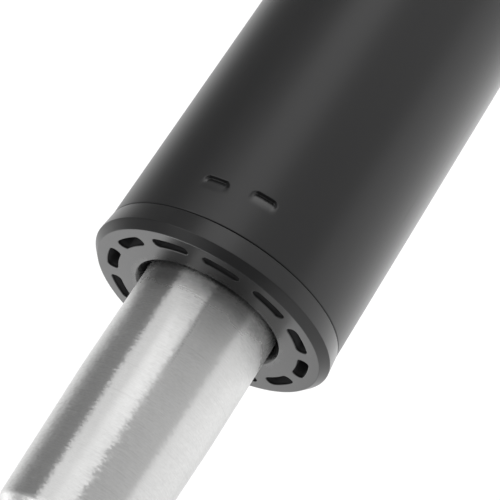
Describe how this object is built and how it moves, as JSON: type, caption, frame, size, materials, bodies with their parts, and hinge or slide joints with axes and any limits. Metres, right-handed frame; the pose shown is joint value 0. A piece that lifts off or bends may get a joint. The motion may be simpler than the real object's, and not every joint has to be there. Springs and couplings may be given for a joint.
{
  "type": "chair gas lift cylinder",
  "caption": "Chair gas lift: tapered black column tube with a guide bush, and a steel spindle that lifts, swivels and releases by a push button.",
  "frame": {"origin": "centre of the circle on which the column's curled rim stands", "axes": "+Z along the column's axis, from the chair base to the seat plate; -Y is the side that the picture shows, with the staked dents a little to +X of it"},
  "size_m": [0.0509, 0.0508, 0.2711],
  "materials": {
    "column_paint": "satin black stove enamel",
    "bush_plastic": "moulded black plastic, fine matte grain",
    "spindle_steel": "ground round the axis, bare",
    "button_steel": "zinc plated, turned end face",
    "plated_steel": "bright zinc plated pressing",
    "spring_steel": "dark phosphated spring steel",
    "bearing_steel": "hardened and polished",
    "cage_nylon": "natural nylon",
    "rod_steel": "ground and hard chromed",
    "bumper_rubber": "moulded rubber",
    "seal_rubber": "smooth nitrile rubber",
    "guide_polymer": "filled bearing plastic",
    "light_alloy": "turned aluminium alloy",
    "cylinder_tube": "drawn steel tube, honed bore",
    "valve_alloy": "die cast and turned",
    "spacer_brass": "turned brass"
  },
  "bodies": {
    "column": {"outer_tube": "column_paint", "guide_bush": "bush_plastic", "base_plate": "plated_steel", "lower_race": "bearing_steel"},
    "ball_set": {"ball_cage": "cage_nylon", "bearing_balls": "bearing_steel"},
    "rod": {"piston_rod": "rod_steel", "upper_race": "bearing_steel", "rubber_bumper": "bumper_rubber", "clip_washer": "plated_steel", "retaining_clip": "spring_steel", "piston": "light_alloy", "piston_seal": "seal_rubber", "piston_washer": "plated_steel"},
    "spindle": {"spindle_tube": "spindle_steel", "gas_cylinder": "cylinder_tube", "backing_washer": "plated_steel", "rod_guide": "guide_polymer", "rod_seal": "seal_rubber", "cylinder_seat": "light_alloy", "valve_body": "valve_alloy", "valve_body_seal": "seal_rubber", "cylinder_seal": "seal_rubber", "valve_retainer": "valve_alloy", "valve_spacer": "spacer_brass", "valve_pin_seals": "seal_rubber"},
    "release": {"valve_pin": "rod_steel", "release_button": "button_steel"}
  },
  "joints": [
    {"name": "swivel", "type": "hinge", "parent": "column", "child": "rod", "pos_m": [0, 0, 0.01315], "axis": [0, 0, 1], "continuous": true},
    {"name": "cage_roll", "type": "hinge", "parent": "column", "child": "ball_set", "pos_m": [0, 0, 0.01315], "axis": [0, 0, 1], "continuous": true},
    {"name": "lift", "type": "slide", "parent": "rod", "child": "spindle", "axis": [0, 0, 1], "range_m": [0, 0.1]},
    {"name": "release", "type": "slide", "parent": "spindle", "child": "release", "axis": [0, 0, 1], "range_m": [-0.0035, 0], "stiffness_N_per_m": 2000, "springref_m": 0.03}
  ],
  "couplings": [
    {"joint": "cage_roll", "follows": "swivel", "ratio": 0.5}
  ]
}
